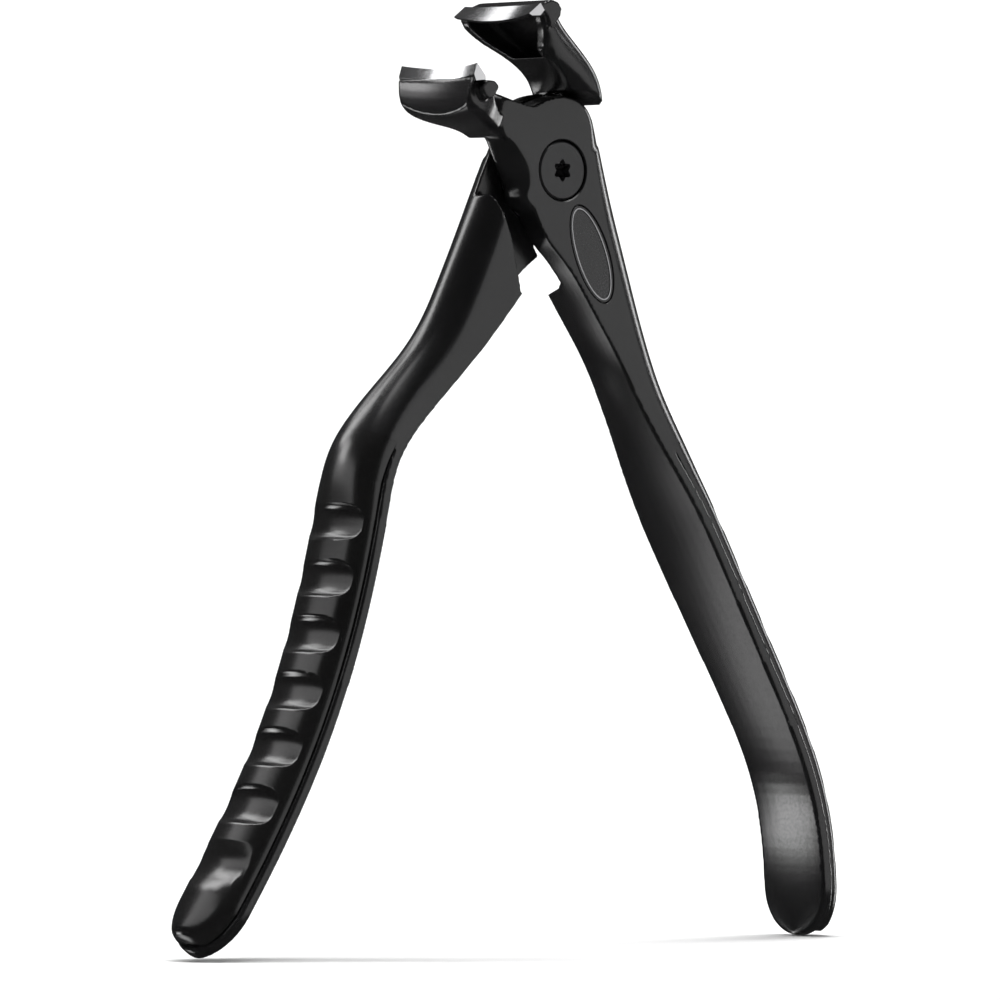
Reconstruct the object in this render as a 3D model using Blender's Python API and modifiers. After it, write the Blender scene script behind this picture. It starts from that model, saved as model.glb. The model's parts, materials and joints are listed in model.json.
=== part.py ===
"""Hoof nipper with an angled head, modelled open and standing on its two handle ends.

Two forged levers cross in a half-lap joint. The front lever carries the left jaw and the
right handle, the rear lever the right jaw and the left handle. Each lever has a brazed
blade and a grip pad, and a screw, a sleeve nut, a bushing and washers make the pivot.

Outlines are written in millimetres from the pivot: x across, z up, y through the joint
with the front at -y. world() turns them into metres in the part's frame.
"""
import math

import bmesh
import bpy
from mathutils import Vector

MM = 0.001

# Driving dimensions, in millimetres.
PIVOT_X = 11.96          # pivot from the middle of the part's box
PIVOT_Z = 201.64         # pivot above the handle ends
JOINT_HALF = 7.65        # half the thickness of the joint and the arms
PLATE_FACE = 0.7         # each half-lap plate's inner face from the middle plane
LEDGE_RADIUS = 21.4      # the jaw flares clear the other plate beyond this radius
BLADE_HALF = 15.35       # half the width of the blades
EDGE_BOW = 1.1           # the edge's middle lies this much nearer the pivot
MOUTH_ANGLE = 142.5      # direction of the closed mouth, degrees from +x
OPEN_ANGLE = 28.4        # how far the jaws stand open at rest, degrees
GAP = 0.3                # between pieces that touch
STEP = 0.03              # keeps the faces of joined shapes out of one plane
CLEAR = 9.0              # cutters reach this far from the middle plane

# Jaws.
JAW_WALL = 3.2           # side walls and back round the hollow
RIM_STEP = 0.2           # slope between the near rim's inner edge and the mouth plane
CUP_REACH = 0.6          # the hollow's cutter runs on past the rim, as a share of the depth
CUP_FIRST = 3.4          # station at which the hollow starts
CUP_STOP = 1.6           # stations left solid behind the blade
LEAST_ROUND = 0.3        # smallest corner radius of a jaw's back

# Grip.
CORE_THICK = 3.0         # flat steel tang behind the pad
PAD_INSET = 1.0          # pad edge in from the tang's edge
GROOVE_COUNT = 7
GROOVE_FIRST_Z = -91.5   # middle of the first finger groove
GROOVE_PITCH = 14.6      # down the handle
GROOVE_HALF = 5.2
GROOVE_DEPTH = 1.7
TONGUE_LENGTH = 13.0     # rounded end of each handle
FACE_CROWN = 0.5         # rise of a lever's inner face between its edges
CORE_CROWN = 0.3         # rise of the tang's outer face
PAD_SQUARE = 0.9         # power that squares the pad's section
PAD_END_LOW = 0.35       # share of the pad's height left where it has no breadth
PAD_END_RISE = 10.0      # half breadth over which that share grows by one

# Pivot hardware, radii and positions along y.
HEAD_RADIUS = 7.7
HEAD_THICK = 3.0
HEAD_SET = 0.15          # head below the lever's face
COUNTERBORE_DEPTH = 4.0
SHANK_RADIUS = 4.0
BUSH_INNER = 4.3
BUSH_OUTER = 5.6
BUSH_HALF = 3.2
BORE_RADIUS = 5.8
RECESS_RADIUS = 2.35     # mean radius of the six-lobe drive recess
RECESS_WAVE = 0.45
RECESS_DEPTH = 2.0
TIP_SET = 1.6            # shank's tip below the back face
NUT_SLOT = ((-9.0, -0.6), (9.0, -0.6), (9.0, 0.6), (-9.0, 0.6))
NUT_SLOT_DEPTH = 1.2
THRUST_RADIUS = 14.4
SEGMENTS = 40
PLATE_STEPS = 6          # rings across a plate's thickness
BORE_PHASE = 3.1         # degrees that keep the bore's facets off the other cutters'

BADGE_CENTRE = (9.9, -21.6)
BADGE_HALF_LENGTH = 13.4
BADGE_HALF_WIDTH = 5.5
BADGE_TILT = -67.0       # long axis, degrees from +x
BADGE_POCKET = 1.0
BADGE_THICK = 0.6

# Handle stations: inner point x, z; outer point x, z; half breadth; flat side height.
FRONT_HANDLE = (
    (-13.0, -6.0, 15.6, 7.0, 7.65, 24.0),
    (-7.1, -16.6, 20.2, -8.2, 7.65, 21.0),
    (0.3, -22.9, 23.4, -17.6, 7.65, 16.0),
    (5.8, -29.4, 26.4, -27.0, 7.65, 13.1),
    (11.7, -38.2, 29.7, -37.2, 7.65, 10.4),
    (19.1, -48.2, 33.1, -46.6, 7.65, 6.6),
    (24.3, -58.1, 36.9, -56.0, 7.9, 5.3),
    (30.0, -68.1, 41.5, -65.2, 9.2, 4.6),
    (35.7, -78.0, 46.2, -74.6, 11.2, 3.8),
    (41.8, -88.2, 51.2, -84.8, 12.8, 3.2),
    (47.4, -98.2, 56.3, -94.8, 13.2, 3.0),
    (64.9, -128.4, 73.2, -124.4, 12.4, 3.0),
    (81.0, -155.6, 89.6, -152.4, 11.7, 3.0),
    (86.6, -178.0, 95.8, -177.2, 12.2, 3.0),
    (86.8, -201.3, 95.6, -202.2, 12.2, 3.0),
)
REAR_HANDLE = (
    (-1.4, -21.8, -17.6, 4.5, 7.65, 23.0),
    (-8.1, -26.3, -26.6, -14.4, 7.65, 14.4),
    (-15.6, -34.4, -33.6, -28.4, 7.65, 11.3),
    (-24.2, -44.1, -38.0, -37.0, 7.65, 8.0),
    (-32.4, -51.9, -43.8, -45.0, 7.65, 5.7),
    (-40.8, -59.7, -51.8, -52.6, 7.65, 5.4),
    (-49.8, -67.4, -61.2, -61.6, 8.8, 5.2),
    (-56.8, -75.0, -68.0, -70.6, 10.4, 4.6),
    (-60.2, -83.0, -70.8, -81.0, 11.6, 3.4),
    (-62.3, -92.0, -71.9, -90.2, 12.2, 3.0),
    (-68.7, -117.0, -78.0, -114.4, 12.3, 3.0),
    (-80.0, -147.4, -89.0, -143.2, 11.7, 3.0),
    (-97.5, -177.4, -106.0, -172.0, 12.0, 3.0),
    (-114.2, -201.0, -121.6, -195.6, 12.0, 3.0),
)
FRONT_SEAM = 7.4         # station at which the grip pad starts
REAR_SEAM = 6.6

# Jaw stations: rim m, n; back m, n; near and far y; near rim's reach towards the mouth;
# radii of the near and far corners of the back.
FRONT_JAW = (
    (12.0, -1.0, 13.0, 9.3, -7.56, 7.56, 0.0, 2.0, 2.0),
    (22.0, 0.6, 21.0, 7.7, -7.56, 7.56, 0.0, 2.0, 2.0),
    (26.5, 2.2, 25.4, 7.4, -9.2, 8.8, 0.0, 2.5, 2.5),
    (30.5, 2.6, 29.6, 8.8, -12.6, 12.4, 0.05, 3.0, 3.0),
    (34.2, 1.6, 33.8, 9.6, -14.9, 14.9, 0.16, 3.5, 3.5),
    (38.0, 0.9, 37.6, 8.4, -15.35, 15.35, 0.1, 3.5, 3.5),
    (40.6, 1.6, 41.0, 6.8, -15.35, 15.35, 0.0, 3.0, 3.0),
    (42.3, 3.2, 43.3, 4.9, -15.2, 15.2, 0.0, 0.8, 0.8),
)
REAR_JAW = (
    (10.0, 9.0, 4.0, 15.0, -7.56, 7.56, 0.0, 2.0, 2.0),
    (18.4, 10.4, 9.0, 19.8, -7.8, 7.56, 0.0, 2.5, 2.5),
    (23.3, 9.7, 15.0, 20.2, -10.2, 7.56, 0.0, 4.0, 3.5),
    (27.5, 7.8, 20.4, 19.0, -12.8, 8.6, 0.12, 5.0, 4.0),
    (31.6, 5.6, 26.0, 16.6, -14.6, 10.8, 0.3, 4.5, 4.5),
    (35.4, 3.2, 31.8, 13.8, -15.35, 13.6, 0.2, 3.0, 4.5),
    (39.6, 1.6, 38.2, 11.2, -15.35, 15.0, 0.1, 1.2, 4.0),
    (42.6, 1.2, 42.0, 10.9, -15.35, 15.35, 0.0, 1.0, 3.0),
    (44.0, 5.9, 43.9, 9.4, -15.2, 15.2, 0.0, 1.0, 1.0),
)
# Blade profiles across the mouth, m and n at the blade's ends; the first is the edge.
FRONT_BLADE = ((44.4, 0.1), (43.6, 3.1), (41.6, 4.1), (39.4, 1.7), (40.2, 0.9))
REAR_BLADE = ((44.0, 0.1), (45.0, 4.7), (42.8, 5.4), (39.6, 1.9), (40.2, 0.9))

# Half-lap plates as x and z around the outline, with the radius of the outer edge there;
# the front arm's shoulder as radius and y, and the rear arm's shoulder as x and z.
FRONT_PLATE = (
    (-10.4, 16.6, 0.0), (-16.0, 18.2, 0.0), (-22.4, 20.4, 0.0), (-25.0, 17.0, 0.0),
    (-24.2, 10.6, 0.0), (-21.2, 8.6, 3.0), (-18.6, 3.6, 5.0), (-16.2, -1.0, 3.0),
    (-14.4, -5.0, 1.0), (-13.8, -9.0, 0.0), (-4.0, -12.0, 0.0), (12.0, -6.0, 0.0),
    (16.4, 4.0, 7.3), (15.2, 8.0, 7.0), (14.0, 11.6, 6.4), (12.4, 15.0, 5.2),
    (9.6, 17.8, 3.4), (5.6, 19.3, 1.4), (1.0, 19.7, 0.6), (-3.4, 18.9, 0.3),
    (-7.4, 17.6, 0.0),
)
REAR_PLATE = (
    (18.8, 4.0, 0.8), (16.4, 10.0, 0.8), (12.0, 15.0, 0.8), (6.0, 18.6, 0.8),
    (0.0, 20.0, 1.0), (-5.4, 19.2, 1.6), (-9.6, 17.0, 3.0), (-12.4, 14.0, 5.0),
    (-14.4, 10.0, 6.6), (-17.6, 3.6, 7.3), (-21.4, -4.0, 7.3), (-20.0, -12.0, 3.0),
    (-12.0, -17.0, 0.0), (-4.0, -18.8, 0.8), (4.0, -18.8, 0.8), (12.0, -14.8, 0.8),
    (17.0, -8.4, 0.8), (19.2, -2.0, 0.8),
)
FRONT_SHOULDER = ((29.3, -0.7), (31.0, 1.5), (36.4, 9.0))
REAR_SHOULDER = (
    (-40.0, 12.0), (-23.6, -6.9), (-21.4, -6.3), (-17.0, -17.9), (-14.3, -29.6),
    (-13.9, -32.0), (0.0, -32.0), (40.0, -10.0), (40.0, 12.0), (10.0, 21.0), (-20.0, 21.0),
)


def start_collections():
    """Empty the scene and make one collection for the part and one for the cutters."""
    for obj in list(bpy.data.objects):
        bpy.data.objects.remove(obj, do_unlink=True)
    found = []
    for name in ("hoof_nipper", "cutters"):
        collection = bpy.data.collections.new(name)
        bpy.context.scene.collection.children.link(collection)
        found.append(collection)
    return found


def world(x, z, y):
    """A point in metres in the part's frame, from millimetres about the pivot."""
    return Vector(((x + PIVOT_X) * MM, y * MM, (z + PIVOT_Z) * MM))


def jaw_point(side, m, n, y):
    """A point of a jaw: m along its mouth plane from the pivot, n away from that plane."""
    angle = math.radians(MOUTH_ANGLE if side == "front" else MOUTH_ANGLE - OPEN_ANGLE)
    turn = 1.0 if side == "front" else -1.0
    x = m * math.cos(angle) - turn * n * math.sin(angle)
    z = m * math.sin(angle) + turn * n * math.cos(angle)
    return world(x, z, y)


def new_object(name, bm, collection):
    """Turn a bmesh into an object with its normals facing out."""
    bmesh.ops.recalc_face_normals(bm, faces=bm.faces)
    mesh = bpy.data.meshes.new(name)
    bm.to_mesh(mesh)
    bm.free()
    obj = bpy.data.objects.new(name, mesh)
    collection.objects.link(obj)
    return obj


def loft(name, rings, collection):
    """Skin a list of closed rings with the same number of points, and cap both ends."""
    bm = bmesh.new()
    loops = [[bm.verts.new(point) for point in ring] for ring in rings]
    for low, high in zip(loops, loops[1:]):
        for i in range(len(low)):
            j = (i + 1) % len(low)
            bm.faces.new((low[i], low[j], high[j], high[i]))
    bm.faces.new(list(reversed(loops[0])))
    bm.faces.new(loops[-1])
    return new_object(name, bm, collection)


def prism(name, outline, y_low, y_high, collection):
    """An extruded flat outline of (x, z) points, as a mesh."""
    curve = bpy.data.curves.new(name, "CURVE")
    curve.dimensions = "2D"
    curve.fill_mode = "BOTH"
    curve.extrude = (y_high - y_low) / 2 * MM
    spline = curve.splines.new("POLY")
    spline.points.add(len(outline) - 1)
    for point, (x, z) in zip(spline.points, outline):
        point.co = (x * MM, z * MM, 0.0, 1.0)
    spline.use_cyclic_u = True
    guide = bpy.data.objects.new(name + "_curve", curve)
    guide.location = world(0.0, 0.0, (y_low + y_high) / 2)
    guide.rotation_euler = (math.radians(90), 0.0, 0.0)
    collection.objects.link(guide)
    bpy.context.view_layer.update()
    evaluated = guide.evaluated_get(bpy.context.evaluated_depsgraph_get())
    mesh = bpy.data.meshes.new_from_object(evaluated)
    bm = bmesh.new()
    bm.from_mesh(mesh)
    bmesh.ops.remove_doubles(bm, verts=bm.verts, dist=0.00001)
    bpy.data.meshes.remove(mesh)
    obj = new_object(name, bm, collection)
    obj.matrix_world = guide.matrix_world
    bpy.data.objects.remove(guide, do_unlink=True)
    return obj


def make_plate(name, outline, y_inner, y_face, collection):
    """A half-lap plate whose outer edge rounds over towards its face."""
    rings = []
    for k in range(PLATE_STEPS + 1):
        y = y_inner + (y_face - y_inner) * math.sin(math.pi / 2 * k / PLATE_STEPS)
        over = 1.0 - math.sqrt(max(1.0 - (y / JOINT_HALF) ** 2, 0.0))
        ring = []
        for x, z, radius in outline:
            keep = 1.0 - over * radius / math.hypot(x, z)
            ring.append(world(x * keep, z * keep, y))
        rings.append(ring)
    return loft(name, rings, collection)


def turned(name, profile, collection, closed=True, phase=0.0):
    """A profile of (radius, y) points turned about the pivot axis.

    The points run down the outer side first, from the front face to the back. The
    phase, in degrees, keeps the facets of shapes that are joined out of line.
    """
    bm = bmesh.new()
    points = [bm.verts.new((r * MM, 0.0, -y * MM)) for r, y in profile]
    for a, b in zip(points, points[1:]):
        bm.edges.new((a, b))
    if closed:
        bm.edges.new((points[-1], points[0]))
    mesh = bpy.data.meshes.new(name)
    bm.to_mesh(mesh)
    bm.free()
    obj = bpy.data.objects.new(name, mesh)
    obj.location = world(0.0, 0.0, 0.0)
    obj.rotation_euler = (math.radians(90), math.radians(phase), 0.0)
    collection.objects.link(obj)
    screw = obj.modifiers.new("Turn", "SCREW")
    screw.steps = SEGMENTS
    screw.render_steps = SEGMENTS
    screw.use_merge_vertices = True
    screw.merge_threshold = 0.00001
    return obj


def boolean(target, tool, operation="DIFFERENCE"):
    """Cut a tool from a target, or join it; the tool stays as a wire guide."""
    modifier = target.modifiers.new(tool.name, "BOOLEAN")
    modifier.operation = operation
    modifier.object = tool
    modifier.solver = "EXACT"
    tool.hide_render = True
    tool.display_type = "WIRE"


def give_material(obj, name, colour, roughness, metallic):
    """A Principled material of the piece's own, with smooth shading."""
    material = bpy.data.materials.new(name)
    material.use_nodes = True
    shader = material.node_tree.nodes["Principled BSDF"]
    shader.inputs["Base Color"].default_value = (*colour, 1.0)
    shader.inputs["Roughness"].default_value = roughness
    shader.inputs["Metallic"].default_value = metallic
    obj.data.materials.clear()
    obj.data.materials.append(material)
    obj.data.shade_smooth()
    obj.data.set_sharp_from_angle(angle=math.radians(35))


def spline_row(rows, t):
    """A row of numbers interpolated smoothly through the rows at t (Catmull-Rom)."""
    last = len(rows) - 1
    k = min(int(t), last - 1)
    f = t - k
    a, b, c, d = (rows[min(max(k + i, 0), last)] for i in (-1, 0, 1, 2))
    result = []
    for p, q, r, s in zip(a, b, c, d):
        cubic = 2 * q + (r - p) * f + (2 * p - 5 * q + 4 * r - s) * f * f
        result.append((cubic + (3 * q - p - 3 * r + s) * f ** 3) / 2)
    return result


def steps(start, end, per_unit):
    """Evenly spaced stations from start to end."""
    count = max(2, round((end - start) * per_unit))
    return [start + (end - start) * i / count for i in range(count + 1)]


def tongue(rows, t, b):
    """Half breadth of a handle, rounded to a tongue over its last stretch."""
    xi, zi = spline_row(rows, t)[:2]
    xe, ze = rows[-1][:2]
    left = math.hypot(xe - xi, ze - zi)
    if left >= TONGUE_LENGTH:
        return b
    f = 1.0 - left / TONGUE_LENGTH
    return b * math.sqrt(max(1.0 - f ** 2, 0.02))


def handle_ring(rows, t, core):
    """A lever's cross-section: flat inner face, flat sides and a rounded outer side."""
    xi, zi, xo, zo, b, side = spline_row(rows, t)
    thick = math.hypot(xo - xi, zo - zi)
    ux, uz = (xo - xi) / thick, (zo - zi) / thick
    b = tongue(rows, t, b)
    if core:
        side, thick = CORE_THICK, CORE_THICK + CORE_CROWN
    ring = [(b * y, -FACE_CROWN * (1 - y * y)) for y in (-0.5, 0.0, 0.5)]
    for k in range(13):
        angle = math.pi * k / 12
        ring.append((b * math.cos(angle), side + (thick - side) * math.sin(angle)))
    ring = ring[:3] + [(b, 0.0)] + ring[3:] + [(-b, 0.0)]
    return [world(xi + ux * n, zi + uz * n, y) for y, n in ring]


def groove_depth(z):
    """Depth of the finger grooves at a height on the handle."""
    for k in range(GROOVE_COUNT):
        off = abs(z - (GROOVE_FIRST_Z - k * GROOVE_PITCH)) / GROOVE_HALF
        if off < 1.0:
            return GROOVE_DEPTH * (1.0 - off ** 4)
    return 0.0


def pad_ring(rows, t):
    """A grip pad's cross-section, standing on the tang's outer side."""
    xi, zi, xo, zo, b, _ = spline_row(rows, t)
    thick = math.hypot(xo - xi, zo - zi)
    ux, uz = (xo - xi) / thick, (zo - zi) / thick
    b = tongue(rows, t, b) - PAD_INSET
    base = CORE_THICK + CORE_CROWN + GAP
    high = thick - base - groove_depth((zi + zo) / 2)
    fade = min(1.0, PAD_END_LOW + b / PAD_END_RISE)
    ring = []
    for k in range(13):
        angle = math.pi * k / 12
        rise = high * fade * math.sin(angle) ** PAD_SQUARE
        ring.append((b * math.cos(angle), base + rise))
    ring[0] = (b, base)
    ring[-1] = (-b, base)
    return [world(xi + ux * n, zi + uz * n, y) for y, n in ring]


def make_handle(name, rows, seam, collection):
    """The arm and the tang of one lever, from the joint to the tongue end."""
    last = len(rows) - 1
    rings = [handle_ring(rows, t, False) for t in steps(0.0, seam, 2)]
    rings += [handle_ring(rows, t, True) for t in steps(seam + 0.03, last - 1, 2)]
    rings += [handle_ring(rows, t, True) for t in steps(last - 0.8, last, 7)]
    return loft(name, rings, collection)


def make_pad(name, rows, seam, collection):
    """The grip pad of one lever, with its finger grooves."""
    last = len(rows) - 1
    start = seam + 0.05
    rings = [pad_ring(rows, t) for t in steps(start, last - 0.55, 5)]
    rings += [pad_ring(rows, t) for t in steps(last - 0.4, last - 0.07, 12)]
    return loft(name, rings, collection)


def jaw_ring(side, row, wall=0.0):
    """A jaw's cross-section: two side walls and a rounded back; wall insets it."""
    rim_m, rim_n, back_m, back_n, near, far, reach, near_round, far_round = row
    deep = math.hypot(back_m - rim_m, back_n - rim_n)
    near, far = near + wall, far - wall
    end = 1.0 - wall / deep
    start = -reach if wall == 0.0 else -CUP_REACH
    most = min((far - near) / 3, deep * 0.6)
    ring = [(near, start)]
    for y_side, turn, radius in ((near, 1.0, near_round), (far, -1.0, far_round)):
        corner = max(min(radius, most) - wall / 3, LEAST_ROUND)
        bend = corner / deep
        arc = []
        for k in range(5):
            angle = math.pi / 2 * k / 4
            y = y_side + turn * corner * (1 - math.cos(angle))
            arc.append((y, end - bend * (1 - math.sin(angle))))
        ring += arc if turn > 0 else list(reversed(arc))
    ring.append((far, start if wall else 0.0))
    if wall == 0.0:
        ring.append((near + JAW_WALL + RIM_STEP, 0.0))
        ring.append((near + JAW_WALL, start))
    points = []
    for y, f in ring:
        m = rim_m + (back_m - rim_m) * f
        n = rim_n + (back_n - rim_n) * f
        points.append(jaw_point(side, m, n, y))
    return points


def make_jaw(side, rows, lap, collection):
    """A jaw from the joint to its tip, hollow between its side walls."""
    solid = [jaw_ring(side, spline_row(rows, t)) for t in steps(0.0, len(rows) - 1, 2)]
    jaw = loft(side + "_jaw", solid, collection)
    stations = steps(CUP_FIRST, len(rows) - 1 - CUP_STOP, 2)
    hollow = [jaw_ring(side, spline_row(rows, t), JAW_WALL) for t in stations]
    boolean(jaw, loft(side + "_cup", hollow, collection))
    boolean(jaw, lap)
    return jaw


def blade_rings(side, profile, grow=0.0):
    """Sections of a blade from one end to the other, with the edge bowed between them."""
    rings = []
    middle_m = sum(m for m, _ in profile) / len(profile)
    middle_n = sum(n for _, n in profile) / len(profile)
    for k in range(9):
        y = BLADE_HALF * (k / 4 - 1.0)
        bow = EDGE_BOW * (1.0 - (y / BLADE_HALF) ** 2)
        ring = []
        for m, n in profile:
            off = math.hypot(m - middle_m, n - middle_n)
            scale = 1.0 + grow / off
            place = (middle_m + (m - middle_m) * scale, middle_n + (n - middle_n) * scale)
            ring.append(jaw_point(side, place[0] - bow, place[1], y * (1 + grow / 3)))
        rings.append(ring)
    return rings


def make_lever(side, rows, seam, jaw_rows, cuts, plate, collection, cutters):
    """One forged lever: arm, half-lap plate, neck and jaw as one body."""
    lap, shoulder = cuts
    lever = make_handle(side + "_lever", rows, seam, collection)
    boolean(lever, shoulder)
    boolean(lever, plate, "UNION")
    boolean(lever, make_jaw(side, jaw_rows, lap, cutters), "UNION")
    return lever


def bore_lever(lever, side, cutters):
    """Cut the pivot bore and the counterbore for the head or the nut."""
    floor, wide = JOINT_HALF - COUNTERBORE_DEPTH, HEAD_RADIUS + GAP
    if side == "front":
        profile = [(0.0, -CLEAR), (wide, -CLEAR), (wide, -floor), (BORE_RADIUS, -floor),
                   (BORE_RADIUS, CLEAR), (0.0, CLEAR)]
    else:
        profile = [(0.0, -CLEAR), (BORE_RADIUS, -CLEAR), (BORE_RADIUS, floor), (wide, floor),
                   (wide, CLEAR), (0.0, CLEAR)]
    boolean(lever, turned(side + "_bore", profile, cutters, False, BORE_PHASE))


def oval(grow):
    """The badge's oval outline, grown by a margin."""
    tilt = math.radians(BADGE_TILT)
    points = []
    for k in range(32):
        angle = 2 * math.pi * k / 32
        a = (BADGE_HALF_LENGTH + grow) * math.cos(angle)
        b = (BADGE_HALF_WIDTH + grow) * math.sin(angle)
        x = BADGE_CENTRE[0] + a * math.cos(tilt) - b * math.sin(tilt)
        z = BADGE_CENTRE[1] + a * math.sin(tilt) + b * math.cos(tilt)
        points.append((x, z))
    return points


def lobes():
    """The six-lobe drive recess's outline."""
    points = []
    for k in range(48):
        angle = 2 * math.pi * k / 48
        r = RECESS_RADIUS - RECESS_WAVE * math.cos(6 * angle)
        points.append((r * math.cos(angle), r * math.sin(angle)))
    return points


def make_front_lever(part, cutters):
    """The front lever, lapped for the rear plate, with badge pocket and bore."""
    top, inner = LEDGE_RADIUS, -PLATE_FACE - 2 * STEP
    lap = turned("front_lap", [(0.0, inner), (top, inner), (top, CLEAR), (0.0, CLEAR)],
                 cutters, False)
    cone = [(0.0, -PLATE_FACE), *FRONT_SHOULDER, (0.0, CLEAR)]
    shoulder = turned("front_shoulder", cone, cutters, False)
    low, high = -JOINT_HALF + STEP, -PLATE_FACE - STEP
    plate = make_plate("front_plate", FRONT_PLATE, high, low, cutters)
    lever = make_lever("front", FRONT_HANDLE, FRONT_SEAM, FRONT_JAW, (lap, shoulder), plate,
                       part, cutters)
    bore_lever(lever, "front", cutters)
    pocket = prism("badge_pocket", oval(GAP), -CLEAR, -JOINT_HALF + BADGE_POCKET, cutters)
    boolean(lever, pocket)
    blade = loft("front_seat", blade_rings("front", FRONT_BLADE, GAP), cutters)
    boolean(lever, blade)
    return lever


def make_rear_lever(part, cutters):
    """The rear lever, lapped for the front plate, with its bore."""
    top, inner = LEDGE_RADIUS, PLATE_FACE + 2 * STEP
    lap = turned("rear_lap", [(0.0, -CLEAR), (top, -CLEAR), (top, inner), (0.0, inner)],
                 cutters, False)
    shoulder = prism("rear_shoulder", REAR_SHOULDER, -CLEAR, PLATE_FACE, cutters)
    low, high = PLATE_FACE + STEP, JOINT_HALF - STEP
    plate = make_plate("rear_plate", REAR_PLATE, low, high, cutters)
    lever = make_lever("rear", REAR_HANDLE, REAR_SEAM, REAR_JAW, (lap, shoulder), plate,
                       part, cutters)
    bore_lever(lever, "rear", cutters)
    blade = loft("rear_seat", blade_rings("rear", REAR_BLADE, GAP), cutters)
    boolean(lever, blade)
    return lever


def make_hardware(part, cutters):
    """Screw, nut, bushing, washers and disc spring, all on the pivot axis."""
    face = -JOINT_HALF + HEAD_SET
    seat = face + HEAD_THICK
    tip = JOINT_HALF - TIP_SET
    head = [(0.0, face), (HEAD_RADIUS, face), (HEAD_RADIUS, seat), (SHANK_RADIUS, seat)]
    screw = turned("pivot_screw", head + [(SHANK_RADIUS, tip), (0.0, tip)], part, False)
    boolean(screw, prism("drive_recess", lobes(), -CLEAR, face + RECESS_DEPTH, cutters))
    back = JOINT_HALF - HEAD_SET
    inner = SHANK_RADIUS + GAP
    nut_face = back - HEAD_THICK
    nut = turned("sleeve_nut", [(HEAD_RADIUS, nut_face), (HEAD_RADIUS, back),
                                (inner, back), (inner, nut_face)], part)
    boolean(nut, prism("nut_slot", NUT_SLOT, back - NUT_SLOT_DEPTH, CLEAR, cutters))
    bush = turned("pivot_bushing", [(BUSH_OUTER, -BUSH_HALF), (BUSH_OUTER, BUSH_HALF),
                                    (BUSH_INNER, BUSH_HALF), (BUSH_INNER, -BUSH_HALF)], part)
    thrust = PLATE_FACE - GAP
    washer = turned("thrust_washer", [(THRUST_RADIUS, -thrust), (THRUST_RADIUS, thrust),
                                      (BORE_RADIUS + GAP, thrust),
                                      (BORE_RADIUS + GAP, -thrust)], part)
    low, high = seat + GAP, -JOINT_HALF + COUNTERBORE_DEPTH - GAP
    ring = turned("head_washer", [(HEAD_RADIUS - GAP, low), (HEAD_RADIUS - GAP, high),
                                  (inner, high), (inner, low)], part)
    low, high = JOINT_HALF - COUNTERBORE_DEPTH + GAP, nut_face - GAP
    spring = turned("disc_spring", [(HEAD_RADIUS - GAP, low), (HEAD_RADIUS - GAP, high),
                                    (inner, high), (inner, low)], part)
    return screw, nut, bush, washer, ring, spring


def main():
    part, cutters = start_collections()
    black = (0.015, 0.015, 0.016)
    for lever in (make_front_lever(part, cutters), make_rear_lever(part, cutters)):
        give_material(lever, lever.name + "_coating", black, 0.32, 0.6)
    for side, profile in (("front", FRONT_BLADE), ("rear", REAR_BLADE)):
        blade = loft(side + "_blade", blade_rings(side, profile), part)
        give_material(blade, side + "_blade_steel", (0.75, 0.75, 0.76), 0.28, 1.0)
    for side, rows, seam in (("front", FRONT_HANDLE, FRONT_SEAM), ("rear", REAR_HANDLE, REAR_SEAM)):
        pad = make_pad(side + "_grip_pad", rows, seam, part)
        give_material(pad, side + "_pad_polymer", (0.012, 0.012, 0.012), 0.35, 0.0)
    screw, nut, bush, washer, ring, spring = make_hardware(part, cutters)
    for piece in (screw, nut):
        give_material(piece, piece.name + "_steel", (0.02, 0.02, 0.021), 0.35, 0.7)
    give_material(bush, "bushing_bronze", (0.55, 0.38, 0.16), 0.4, 1.0)
    for piece in (washer, ring, spring):
        give_material(piece, piece.name + "_steel", (0.35, 0.35, 0.36), 0.35, 1.0)
    low = -JOINT_HALF + BADGE_POCKET - GAP - BADGE_THICK
    badge = prism("oval_badge", oval(0.0), low, low + BADGE_THICK, part)
    give_material(badge, "badge_metal", (0.03, 0.03, 0.031), 0.4, 0.6)


main()
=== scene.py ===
"""Looks of the hoof nipper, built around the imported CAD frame.

Shapes are written in millimetres from the pivot: x across, z up, y through the joint
with the front at -y. world() turns them into metres in the frame that the CAD uses.
"""

import json
import math

import bmesh
import bpy
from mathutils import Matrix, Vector

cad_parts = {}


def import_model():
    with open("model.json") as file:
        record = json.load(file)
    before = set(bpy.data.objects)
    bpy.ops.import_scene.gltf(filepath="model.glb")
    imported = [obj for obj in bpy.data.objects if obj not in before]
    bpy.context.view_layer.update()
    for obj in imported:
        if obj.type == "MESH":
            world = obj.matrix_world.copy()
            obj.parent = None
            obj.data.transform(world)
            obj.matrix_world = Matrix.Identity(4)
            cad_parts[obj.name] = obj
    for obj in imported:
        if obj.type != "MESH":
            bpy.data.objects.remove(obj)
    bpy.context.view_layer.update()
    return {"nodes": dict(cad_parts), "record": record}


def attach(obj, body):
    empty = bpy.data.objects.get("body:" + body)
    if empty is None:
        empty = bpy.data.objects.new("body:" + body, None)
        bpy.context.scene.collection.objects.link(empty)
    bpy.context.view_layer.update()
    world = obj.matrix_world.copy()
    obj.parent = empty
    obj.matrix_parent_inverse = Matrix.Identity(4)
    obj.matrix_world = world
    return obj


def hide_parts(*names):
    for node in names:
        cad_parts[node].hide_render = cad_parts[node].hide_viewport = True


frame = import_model()

MM = 0.001
PIVOT = Vector(frame["record"]["behaviour"]["joints"][0]["pos_m"])

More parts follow.
